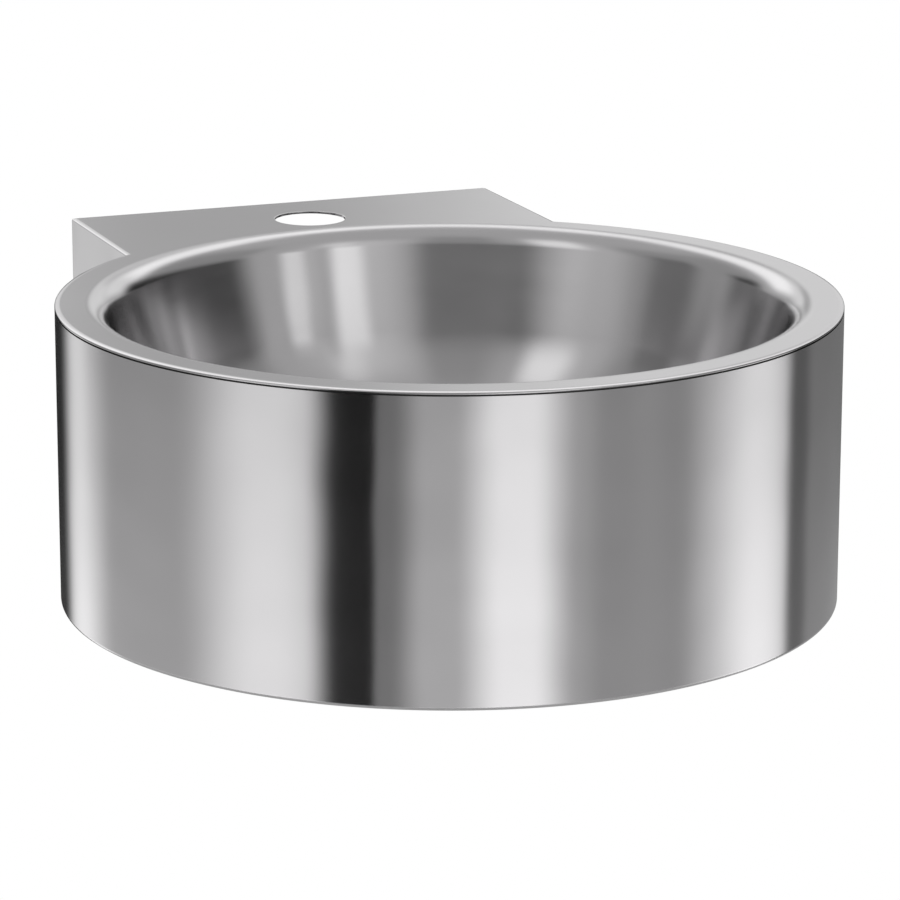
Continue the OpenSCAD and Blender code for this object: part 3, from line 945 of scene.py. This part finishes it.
class BASIN_OT_hanging(bpy.types.Operator):
    """Wall bracket, hooks, lower rail, stiffening bars and earth tag"""

    bl_idname = "basin.hanging"
    bl_label = "Bracket and rails"

    def execute(self, context):
        def across(u, v, w):
            return (w, u, v)

        # Each path runs in y and z down the middle of the plate, half its thickness from a face
        bracket, rail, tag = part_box("wall_bracket"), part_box("lower_rail"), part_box("earth_tag")
        steel, low, trough = metal("mill_steel"), whole(bracket[0].z), DECK_Z - 0.026
        screw_holes = [((x, SCREW_Y, low), (0, 0, 1), 0.0033) for x in SCREW_XS]
        wall_holes = [
            ((x, -0.001, z), (0, 1, 0), 0.0045) for x in (-0.07, 0.07) for z in (-0.02, 0.02)
        ]
        half, hw = 0.00125, whole(bracket[1].x)
        bent_plate(
            "folded_wall_bracket",
            [(-0.022, low + half), (-half, low + half), (-half, trough - half),
             (-0.01325, trough - half), (-0.01325, trough + 0.012)],
            2 * half, 0.00325, (-hw, hw), across, wall_holes + screw_holes, metal("zinc_steel"),
            "wall_bracket",
        )
        half, hw = 0.001, whole(rail[1].x)
        bent_plate(
            "folded_lower_rail",
            [(-0.0012, low - half), (-0.023, low - half), (-0.023, low - 0.015)],
            2 * half, 0.0025, (-hw, hw), across, screw_holes, steel, "lower_rail",
        )
        back, front, step_z = -0.0022, -0.010, trough + 0.013
        for name, side in (("hook_left", -1), ("hook_right", 1)):
            bent_plate(
                name, [(back, DECK_Z - 0.002), (back, step_z), (front, step_z), (front, trough)],
                2 * half, 0.0022, sorted((side * (hw - 0.052), side * hw)), across, [], steel,
                "hanging_hooks",
            )
        dress("ledge_stiffeners", steel, 0.0004)
        half, (near, far) = 0.00075, tag
        wall_x, foot_z = PANEL_WALL_X - half, whole(near.z) + half
        bent_plate(
            "bent_earth_tag", [(wall_x, whole(far.z)), (wall_x, foot_z), (whole(near.x), foot_z)],
            2 * half, 0.0016, (near.y, far.y), lambda u, v, w: (u, w, v),
            [((0.0925, (near.y + far.y) / 2, near.z), (0, 0, 1), 0.00325)],
            steel, "earth_tag",
        )
        return {"FINISHED"}


class BASIN_OT_fasteners(bpy.types.Operator):
    """Locking screws, their washers, and the nuts welded on the bracket's foot"""

    bl_idname = "basin.fasteners"
    bl_label = "Locking screws"

    def execute(self, context):
        box, steel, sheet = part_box("locking_screws"), metal("bright_steel"), Sheet()
        low, top = whole(box[0].z), whole(box[1].z)
        head_z, stem_z, tip_z, tip_r = low + 0.0033, low + 0.005, top - 0.0006, 0.0024
        for x in SCREW_XS:
            where = {"x": x, "y": SCREW_Y}
            socket_head(
                sheet, x, SCREW_Y, low, head_z, r=0.00525, flats=0.005, depth=0.002, stem_r=SCREW_R
            )
            banded(sheet, [(SCREW_R, head_z), (SCREW_R, stem_z)], 40, **where)
            threaded(sheet, x, SCREW_Y, SCREW_R, stem_z, tip_z, SCREW_PITCH, 0.00055, 36, 8)
            banded(sheet, [(SCREW_R, tip_z), (tip_r, top), (0.0, top)], 40, **where)
        sheet.build("socket_screws", [steel], "bright_steel", "locking_screws")
        box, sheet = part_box("locking_nuts"), Sheet()
        for x in SCREW_XS:
            nut(sheet, x, SCREW_Y, whole(box[0].z), whole(box[1].z), WELD_NUT_R, SCREW_R, columns=6)
        sheet.build("weld_nuts", [steel], "bright_steel", "locking_nuts")
        dress("locking_washers", steel, 0.0002)
        return {"FINISHED"}


class BASIN_OT_welds(bpy.types.Operator):
    """Weld beads that hold the bars, hooks, rail, tag and nuts"""

    bl_idname = "basin.welds"
    bl_label = "Welds"

    def execute(self, context):
        sheet = Sheet()
        bars = [v.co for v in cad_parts["ledge_stiffeners"].data.vertices]
        inner, outer = min(abs(v.x) for v in bars), max(abs(v.x) for v in bars)
        front, back, under = min(v.y for v in bars), max(v.y for v in bars), max(v.z for v in bars)
        hook, rail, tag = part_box("hanging_hooks"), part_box("lower_rail"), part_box("earth_tag")
        flange_y, flange_x = hook[1].y, PANEL_BOX[0].x
        nut_z, flat_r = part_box("locking_nuts")[0].z, WELD_NUT_R * math.cos(math.pi / 6)
        for side in (-1, 1):
            # Stitches along both edges of each stiffening bar
            for x, way in ((inner, -1), (outer, 1)):
                for y in (front, (front + back) / 2 - STITCH, back - 2 * STITCH):
                    y += STITCH / 2
                    bead(sheet, (side * x, y, under), (side * x, y + STITCH, under), 0.0018,
                         (0, 0, -1), (side * way, 0, 0), 7)
            # Hook leg against the panel's flange, and the rail over and under that flange
            x = side * flange_x
            bead(sheet, (x, flange_y, hook[0].z + 0.014), (x, flange_y, hook[1].z - 0.003), 0.0011,
                 (0, 1, 0), (-side, 0, 0), 8)
            ends = [side * (flange_x + 0.0005), side * (rail[1].x - 0.0005)]
            for z, way in ((rail[1].z, 1), (rail[1].z - 0.002, -1)):
                bead(sheet, *((x, flange_y, z) for x in ends), 0.0018, (0, 0, way), (0, -1, 0), 6)
            # Tacks on two flats of each nut
            x = side * SCREW_XS[1]
            for way in (-1, 1):
                y = SCREW_Y + way * flat_r
                bead(sheet, (x - 0.002, y, nut_z), (x + 0.002, y, nut_z), 0.0009,
                     (0, 0, 1), (0, way, 0), 3)
        ends = ((PANEL_WALL_X, y, tag[1].z) for y in (tag[0].y + 0.001, tag[1].y - 0.001))
        bead(sheet, *ends, 0.0015, (0, 0, 1), (-1, 0, 0), 8)
        sheet.build("weld_beads", [metal("weld_steel")], "mill_steel")
        return {"FINISHED"}


class BASIN_OT_damping(bpy.types.Operator):
    """Damping pad stuck under the bowl"""

    bl_idname = "basin.damping"
    bl_label = "Damping pad"

    def execute(self, context):
        dress("sound_pad", matt("damping_pad"), 0.0006)
        return {"FINISHED"}


# ---------------------------------------------------------------- node helpers


def add(tree, kind, inputs=None, **props):
    """A node with its properties set and its inputs linked or set, by name or place."""
    node = tree.nodes.new(kind)
    for key, value in props.items():
        setattr(node, key, value)
    for key, value in (inputs or {}).items():
        if isinstance(value, bpy.types.NodeSocket):
            tree.links.new(value, node.inputs[key])
        else:
            node.inputs[key].default_value = value
    return node


def sums(tree, operation, *values):
    return add(tree, "ShaderNodeMath", dict(enumerate(values)), operation=operation).outputs[0]


def steps_between(tree, value, low, high):
    """0 below low, 1 above high, smooth between."""
    return add(
        tree, "ShaderNodeMapRange",
        {"Value": value, "From Min": low, "From Max": high, "To Min": 0.0, "To Max": 1.0},
        interpolation_type="SMOOTHSTEP",
    ).outputs["Result"]


def group(name, inputs, outputs, fill):
    """A shader node group with named inputs and outputs, made once."""
    tree = bpy.data.node_groups.get(name)
    if tree:
        return tree
    tree = bpy.data.node_groups.new(name, "ShaderNodeTree")
    for label, kind, default in inputs:
        socket = tree.interface.new_socket(name=label, in_out="INPUT", socket_type=kind)
        if default is not None:
            socket.default_value = default
    for label in outputs:
        tree.interface.new_socket(name=label, in_out="OUTPUT", socket_type="NodeSocketFloat")
    start, end = tree.nodes.new("NodeGroupInput"), tree.nodes.new("NodeGroupOutput")
    for label, socket in fill(tree, start.outputs).items():
        tree.links.new(socket, end.inputs[label])
    return tree


def placed(tree, made, inputs):
    return add(tree, "ShaderNodeGroup", inputs, node_tree=made).outputs


def noise(tree, place, scale, detail, rough):
    given = {"Vector": place, "Scale": scale, "Detail": detail, "Roughness": rough}
    return add(tree, "ShaderNodeTexNoise", given).outputs["Fac"]


def grain_group():
    """Fine polishing lines that run along U."""

    def fill(tree, given):
        parts = add(tree, "ShaderNodeSeparateXYZ", {"Vector": given["Grain UV"]}).outputs
        spread = add(tree, "ShaderNodeCombineXYZ", {
            "X": sums(tree, "MULTIPLY", parts["X"], given["Along"]),
            "Y": sums(tree, "MULTIPLY", parts["Y"], given["Across"]),
        }).outputs[0]
        return {"Lines": noise(tree, spread, 1.0, 3.0, 0.65)}

    return group(
        "Polishing grain",
        [("Grain UV", "NodeSocketVector", None), ("Along", "NodeSocketFloat", 12.0),
         ("Across", "NodeSocketFloat", 1500.0)],
        ["Lines"], fill,
    )


def marks_group():
    """Soft patches left by wiping and handling."""

    def fill(tree, given):
        soft = noise(tree, given["Place"], given["Scale"], 2.0, 0.5)
        return {"Patches": steps_between(tree, soft, 0.35, 0.68), "Swell": soft}

    return group(
        "Handling marks",
        [("Place", "NodeSocketVector", None), ("Scale", "NodeSocketFloat", 14.0)],
        ["Patches", "Swell"], fill,
    )


def material(name, fill):
    """A material made once. fill(tree, shader, marks) wires it, where marks(scale) places
    the soft patches on the object."""
    made = bpy.data.materials.get(name)
    if not made:
        made = bpy.data.materials.new(name)
        made.use_nodes = True
        tree = made.node_tree
        place = add(tree, "ShaderNodeTexCoord").outputs["Object"]

        def marks(scale):
            return placed(tree, marks_group(), {"Place": place, "Scale": scale})

        fill(tree, tree.nodes["Principled BSDF"], marks)
    return made


def wire(tree, shader, factor, colour, gains, rough, height):
    """Colour between two gains, a roughness, and a bump whose height is in metres."""
    low, high = ((*[min(c * gain, 1) for c in colour], 1) for gain in gains)
    tint = add(tree, "ShaderNodeMix", {"Factor": factor, "A": low, "B": high}, data_type="RGBA")
    bump = add(tree, "ShaderNodeBump", {"Height": height, "Strength": 1.0, "Distance": 1.0})
    tree.links.new(tint.outputs[2], shader.inputs["Base Color"])
    tree.links.new(rough, shader.inputs["Roughness"])
    tree.links.new(bump.outputs[0], shader.inputs["Normal"])


def polished(name, colour, rough, grain, wave=0.0):
    """Satin stainless steel whose grain runs along U."""

    def fill(tree, shader, marks):
        uv = add(tree, "ShaderNodeUVMap", uv_map="Grain").outputs[0]
        given = {"Grain UV": uv, "Along": 12.0, "Across": 1500.0}
        lines, soft = placed(tree, grain_group(), given)["Lines"], marks(9.0)
        shader.inputs["Metallic"].default_value = 1.0
        shader.inputs["Anisotropic"].default_value = grain
        shader.inputs["Anisotropic Rotation"].default_value = 0.25
        level = sums(tree, "MULTIPLY_ADD", lines, 0.05, rough - 0.03)
        level = sums(tree, "MULTIPLY_ADD", soft["Patches"], 0.02, level)
        ripple = sums(tree, "MULTIPLY", soft["Swell"], wave)
        height = sums(tree, "MULTIPLY_ADD", lines, LINE_DEPTH, ripple)
        wire(tree, shader, lines, colour, (0.97, 1.03), level, height)
        tangent = add(tree, "ShaderNodeTangent", direction_type="UV_MAP", uv_map="Grain")
        tree.links.new(tangent.outputs[0], shader.inputs["Tangent"])

    return material(name, fill)


def satin(name, finish, rough=None, share=1.0):
    """The basin's own steel, with a share of its full grain and waviness."""
    rough = finish.steel_rough if rough is None else rough
    return polished(name, finish.steel, rough, finish.steel_grain * share, finish.wave * share)


def back_steel(finish):
    return polished("unpolished_side", [c * 0.85 for c in finish.steel], 0.38, 0.2)


# Colour, roughness, and how fine the mottle is
METALS = {
    # seam_shade is painted shade: near-black steel laid in the groove between the deck and the
    # apron
    "seam_shade": ((0.12, 0.12, 0.12), 0.5, 300.0),
    "mill_steel": ((0.50, 0.50, 0.495), 0.36, 400.0),
    "weld_steel": ((0.47, 0.455, 0.43), 0.3, 500.0),
    "zinc_steel": ((0.58, 0.60, 0.62), 0.32, 260.0),
    "bright_steel": ((0.62, 0.615, 0.61), 0.22, 700.0),
    "chrome_plate": ((0.66, 0.67, 0.68), 0.10, 900.0),
    "turned_brass": ((0.70, 0.52, 0.24), 0.28, 500.0),
}


def metal(name):
    """Plain metal with a fine mottle in its colour and roughness."""
    colour, rough, speckle = METALS[name]

    def fill(tree, shader, marks):
        fine, broad = marks(speckle), marks(18.0)
        shader.inputs["Metallic"].default_value = 1.0
        level = sums(tree, "MULTIPLY_ADD", fine["Patches"], 0.08, rough - 0.04)
        level = sums(tree, "MULTIPLY_ADD", broad["Swell"], 0.08, level)
        height = sums(tree, "MULTIPLY", fine["Swell"], MOTTLE_DEPTH)
        wire(tree, shader, fine["Patches"], colour, (0.9, 1.06), level, height)

    return material(name, fill)


# Colour, roughness, how fine and how deep the skin is, and how far its colour varies
MATTS = {
    "black_rubber": ((0.028, 0.028, 0.03), 0.55, 900.0, 0.00003, 0.12),
    "white_plastic": ((0.80, 0.80, 0.78), 0.38, 600.0, 0.00001, 0.02),
    "damping_pad": ((0.06, 0.06, 0.065), 0.75, 420.0, 0.0003, 0.12),
}


def matt(name):
    """Rubber, plastic or damping compound, with a fine skin."""
    colour, rough, scale, depth, shift = MATTS[name]

    def fill(tree, shader, marks):
        fine, broad = marks(scale), marks(22.0)
        level = sums(tree, "MULTIPLY_ADD", fine["Patches"], 0.1, rough - 0.05)
        height = sums(tree, "MULTIPLY", fine["Swell"], depth)
        wire(tree, shader, broad["Swell"], colour, (1 - shift, 1 + shift), level, height)

    return material(name, fill)


# ---------------------------------------------------------------- studio

# Share of light added below the horizon, up to the first angle and from the second one on,
# and the angle above the horizon at which nothing is left of it
GROUND, GROUND_GAIN, GROUND_END = (-17.5, -14.0), (0.32, -0.4), 4.0
# Soft boxes and flags round the basin: middle, half width and soft edge in degrees from the
# direction of the camera, lowest and highest angle above the horizon, edge, and brightness.
STUDIO = [
    (-163, 16.5, 5, -80, 4, 5, 0.04),
    (-135, 11, 10, -80, -3, 4, 1.1),
    (-137, 6, 5, -14, -3, 3, 1.55),
    (-54.5, 17.5, 15, -80, 4, 5, 1.16),
    (-30.2, 7.2, 5, -80, 4, 5, 0.01),
    (0, 12, 6, -80, 4, 5, 0.6),
    (19.4, 11.2, 7, -80, 4, 5, 1.32),
    (-18, 6, 5, -80, 4, 5, 0.24),
    (-26.4, 5.2, 1.2, -80, 8, 4, 0.0),
    (57, 17, 6, -80, 4, 5, 0.37),
    (102, 16, 15, -80, -3, 4, 1.3),
    (150, 30, 4, -80, 4, 5, 0.31),
    (122, 6, 3, -80, 4, 5, 0.16),
    (0, 181, 1, 4, 91, 4, 0.51),
    (-100, 34, 8, 4, 44, 6, 0.37),
    (-86, 10, 5, 4, 26, 5, 0.18),
    (-124, 9, 6, 4, 16, 4, 0.05),
    (-54, 11, 8, 4, 56, 6, 0.61),
    (-43, 10, 6, 24.5, 52, 6, 1.15),
    (-4, 15, 9, 24, 60, 6, 0.37),
    (-10, 25, 10, 2, 26, 6, 0.16),
    (36, 16, 14, 4, 46, 6, 0.72),
    (110, 32, 8, 14, 46, 7, 0.35),
    (110, 32, 7, 1, 18, 5, 0.03),
    (124, 18, 8, -3, 11, 5, 0.0),
    (57.5, 4.5, 3, 1, 17, 5, 1.35),
    (43, 6, 4, 27, 44, 6, 0.92),
    (36.5, 5.5, 3, 1, 23, 6, 1.3),
    (46.5, 2.4, 2.5, 4, 30, 6, 0.55),
    (180, 22, 8, 36, 60, 6, 1.4),
    (150, 13, 9, 20, 56, 8, 1.35),
    (156, 10, 6, 8, 26, 6, 0.95),
    (-158, 13, 6, 12, 52, 6, 1.32),
    (180, 16, 6, 5, 20, 4, 0.88),
    (175, 5, 3.5, 20, 38, 5, 0.76),
    (175.5, 4.5, 3, 6, 19, 3, 0.84),
    (-176.8, 3.2, 2.5, 6, 18, 3, 0.45),
]
STUDIO_BASE = 0.5
STRIP = ("Middle", "Half width", "Soft", "Low", "High", "Edge", "Bright")


def strip_group():
    """One soft box or flag, laid over the light behind it."""

    def fill(tree, given):
        off = sums(tree, "SUBTRACT", given["Turn"], given["Middle"])
        off = sums(tree, "ABSOLUTE", sums(tree, "WRAP", off, 180.0, -180.0))

        def over(value, middle, soft):
            low, high = (sums(tree, kind, middle, soft) for kind in ("SUBTRACT", "ADD"))
            return steps_between(tree, value, low, high)

        def less(value):
            return sums(tree, "SUBTRACT", 1.0, value)

        across = less(over(off, given["Half width"], given["Soft"]))
        up = over(given["Rise"], given["Low"], given["Edge"])
        down = less(over(given["Rise"], given["High"], given["Edge"]))
        mask = sums(tree, "MULTIPLY", across, sums(tree, "MULTIPLY", up, down))
        mix = {"Factor": mask, "A": given["Behind"], "B": given["Bright"]}
        return {"Light": add(tree, "ShaderNodeMix", mix).outputs[0]}

    names = ("Behind", "Turn", "Rise", *STRIP)
    return group("Studio strip", [(n, "NodeSocketFloat", 0.0) for n in names], ["Light"], fill)


class BASIN_OT_studio(bpy.types.Operator):
    """Pale studio with soft boxes and flags, the floor and the camera"""

    bl_idname = "basin.studio"
    bl_label = "Studio"

    def execute(self, context):
        studio = context.scene.basin_studio
        self.sky(context)
        self.floor(studio)
        self.camera(context, studio)
        context.scene.view_settings.view_transform = "Standard"
        return {"FINISHED"}

    def sky(self, context):
        world = bpy.data.worlds.new("Studio")
        context.scene.world = world
        world.use_nodes = True
        tree = world.node_tree
        tree.nodes.clear()
        # Turn is measured round the upright axis from the camera, to its right; rise from level
        facing = add(tree, "ShaderNodeTexCoord").outputs["Generated"]
        spun = add(
            tree, "ShaderNodeVectorRotate", {"Vector": facing, "Angle": math.radians(VIEW_TURN)},
            rotation_type="Z_AXIS",
        ).outputs[0]
        parts = add(tree, "ShaderNodeSeparateXYZ", {"Vector": spun}).outputs
        behind = sums(tree, "MULTIPLY", parts["Y"], -1.0)
        turn = sums(tree, "DEGREES", sums(tree, "ARCTAN2", parts["X"], behind))
        rise = sums(tree, "DEGREES", sums(tree, "ARCSINE", parts["Z"]))
        light = STUDIO_BASE
        for strip in STUDIO:
            given = {"Behind": light, "Turn": turn, "Rise": rise}
            given.update(zip(STRIP, map(float, strip)))
            light = placed(tree, strip_group(), given)["Light"]
        # The floor reflects more light near the basin than far off: the apron is dimmer at its top
        near, far = GROUND_GAIN
        gain = sums(tree, "MULTIPLY_ADD", steps_between(tree, rise, *GROUND), far - near, near)
        below = sums(tree, "SUBTRACT", 1.0, steps_between(tree, rise, 0.0, GROUND_END))
        light = sums(tree, "MULTIPLY", light, sums(tree, "MULTIPLY_ADD", gain, below, 1.0))
        lit, white = (
            add(tree, "ShaderNodeBackground", {"Color": WHITE, "Strength": strength}).outputs[0]
            for strength in (light, 1.0)
        )
        seen = add(tree, "ShaderNodeLightPath").outputs["Is Camera Ray"]
        both = add(tree, "ShaderNodeMixShader", {0: seen, 1: lit, 2: white}).outputs[0]
        add(tree, "ShaderNodeOutputWorld", {"Surface": both})

    def floor(self, studio):
        def fill(tree, shader, marks):
            low, high = ((level, level, level, 1) for level in (0.80, 0.86))
            mix = {"Factor": marks(3.0)["Swell"], "A": low, "B": high}
            tint = add(tree, "ShaderNodeMix", mix, data_type="RGBA").outputs[2]
            tree.links.new(tint, shader.inputs["Base Color"])
            shader.inputs["Roughness"].default_value = 0.8
            white = add(tree, "ShaderNodeEmission", {"Color": WHITE, "Strength": 1.0}).outputs[0]
            clear = add(tree, "ShaderNodeBsdfTransparent").outputs[0]
            seen = add(tree, "ShaderNodeLightPath").outputs["Is Camera Ray"]
            below = add(tree, "ShaderNodeNewGeometry").outputs["Backfacing"]
            mix = {0: seen, 1: shader.outputs[0], 2: white}
            front = add(tree, "ShaderNodeMixShader", mix).outputs[0]
            both = add(tree, "ShaderNodeMixShader", {0: below, 1: front, 2: clear}).outputs[0]
            tree.links.new(both, tree.nodes["Material Output"].inputs["Surface"])

        mesh = bpy.data.meshes.new("floor")
        points = circle(0, AXIS_Y, studio.floor_z, studio.floor_r, 96)
        mesh.from_pydata(points, [], [list(range(len(points)))])
        mesh.materials.append(material("pale_floor", fill))
        linked("floor", mesh)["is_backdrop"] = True

    def camera(self, context, studio):
        data = bpy.data.cameras.new("camera")
        data.lens, data.sensor_width = studio.lens, 36.0
        data.clip_start, data.clip_end = 0.05, 60.0
        cam = linked("camera", data)
        a, p, r = studio.azimuth, studio.pitch, studio.roll
        ahead = Vector((math.sin(a) * math.cos(p), math.cos(a) * math.cos(p), -math.sin(p)))
        right = Vector((math.cos(a), -math.sin(a), 0))
        up = right.cross(ahead)
        right, up = right * math.cos(r) + up * math.sin(r), up * math.cos(r) - right * math.sin(r)
        turn = Matrix((right, up, -ahead)).transposed().to_4x4()
        place = Vector((studio.camera_side, studio.camera_front, studio.camera_up))
        cam.matrix_world = Matrix.Translation(place) @ turn
        context.scene.camera = cam


# ---------------------------------------------------------------- add-on


STEPS = (
    BASIN_OT_bowl, BASIN_OT_deck, BASIN_OT_apron, BASIN_OT_panels, BASIN_OT_waste,
    BASIN_OT_seals, BASIN_OT_hanging, BASIN_OT_fasteners, BASIN_OT_welds, BASIN_OT_damping,
    BASIN_OT_studio,
)
STORES = (
    ("basin_sizes", BasinSizes), ("basin_finish", BasinFinish), ("basin_studio", BasinStudio),
)


class BASIN_PT_panel(bpy.types.Panel):
    """The basin's steps and sizes"""

    bl_idname = "BASIN_PT_panel"
    bl_label = "Hand wash basin"
    bl_space_type = "VIEW_3D"
    bl_region_type = "UI"
    bl_category = "Basin"

    def draw(self, context):
        for step in STEPS:
            self.layout.operator(step.bl_idname)
        for store, kind in STORES:
            box = self.layout.box()
            for name in kind.__annotations__:
                box.prop(getattr(context.scene, store), name)


def register():
    for name, kind in STORES:
        bpy.utils.register_class(kind)
        setattr(bpy.types.Scene, name, PointerProperty(type=kind))
    for kind in (*STEPS, BASIN_PT_panel):
        bpy.utils.register_class(kind)


def unregister():
    for kind in reversed((*STEPS, BASIN_PT_panel)):
        bpy.utils.unregister_class(kind)
    for name, kind in reversed(STORES):
        delattr(bpy.types.Scene, name)
        bpy.utils.unregister_class(kind)


def main():
    register()
    for step in STEPS:
        section, name = step.bl_idname.split(".")
        getattr(getattr(bpy.ops, section), name)()
    boxes = {"cad": cad_box, "visual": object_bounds()}
    {k: [list(low), list(high)] for k, (low, high) in boxes.items()}


if __name__ == "__main__":
    main()
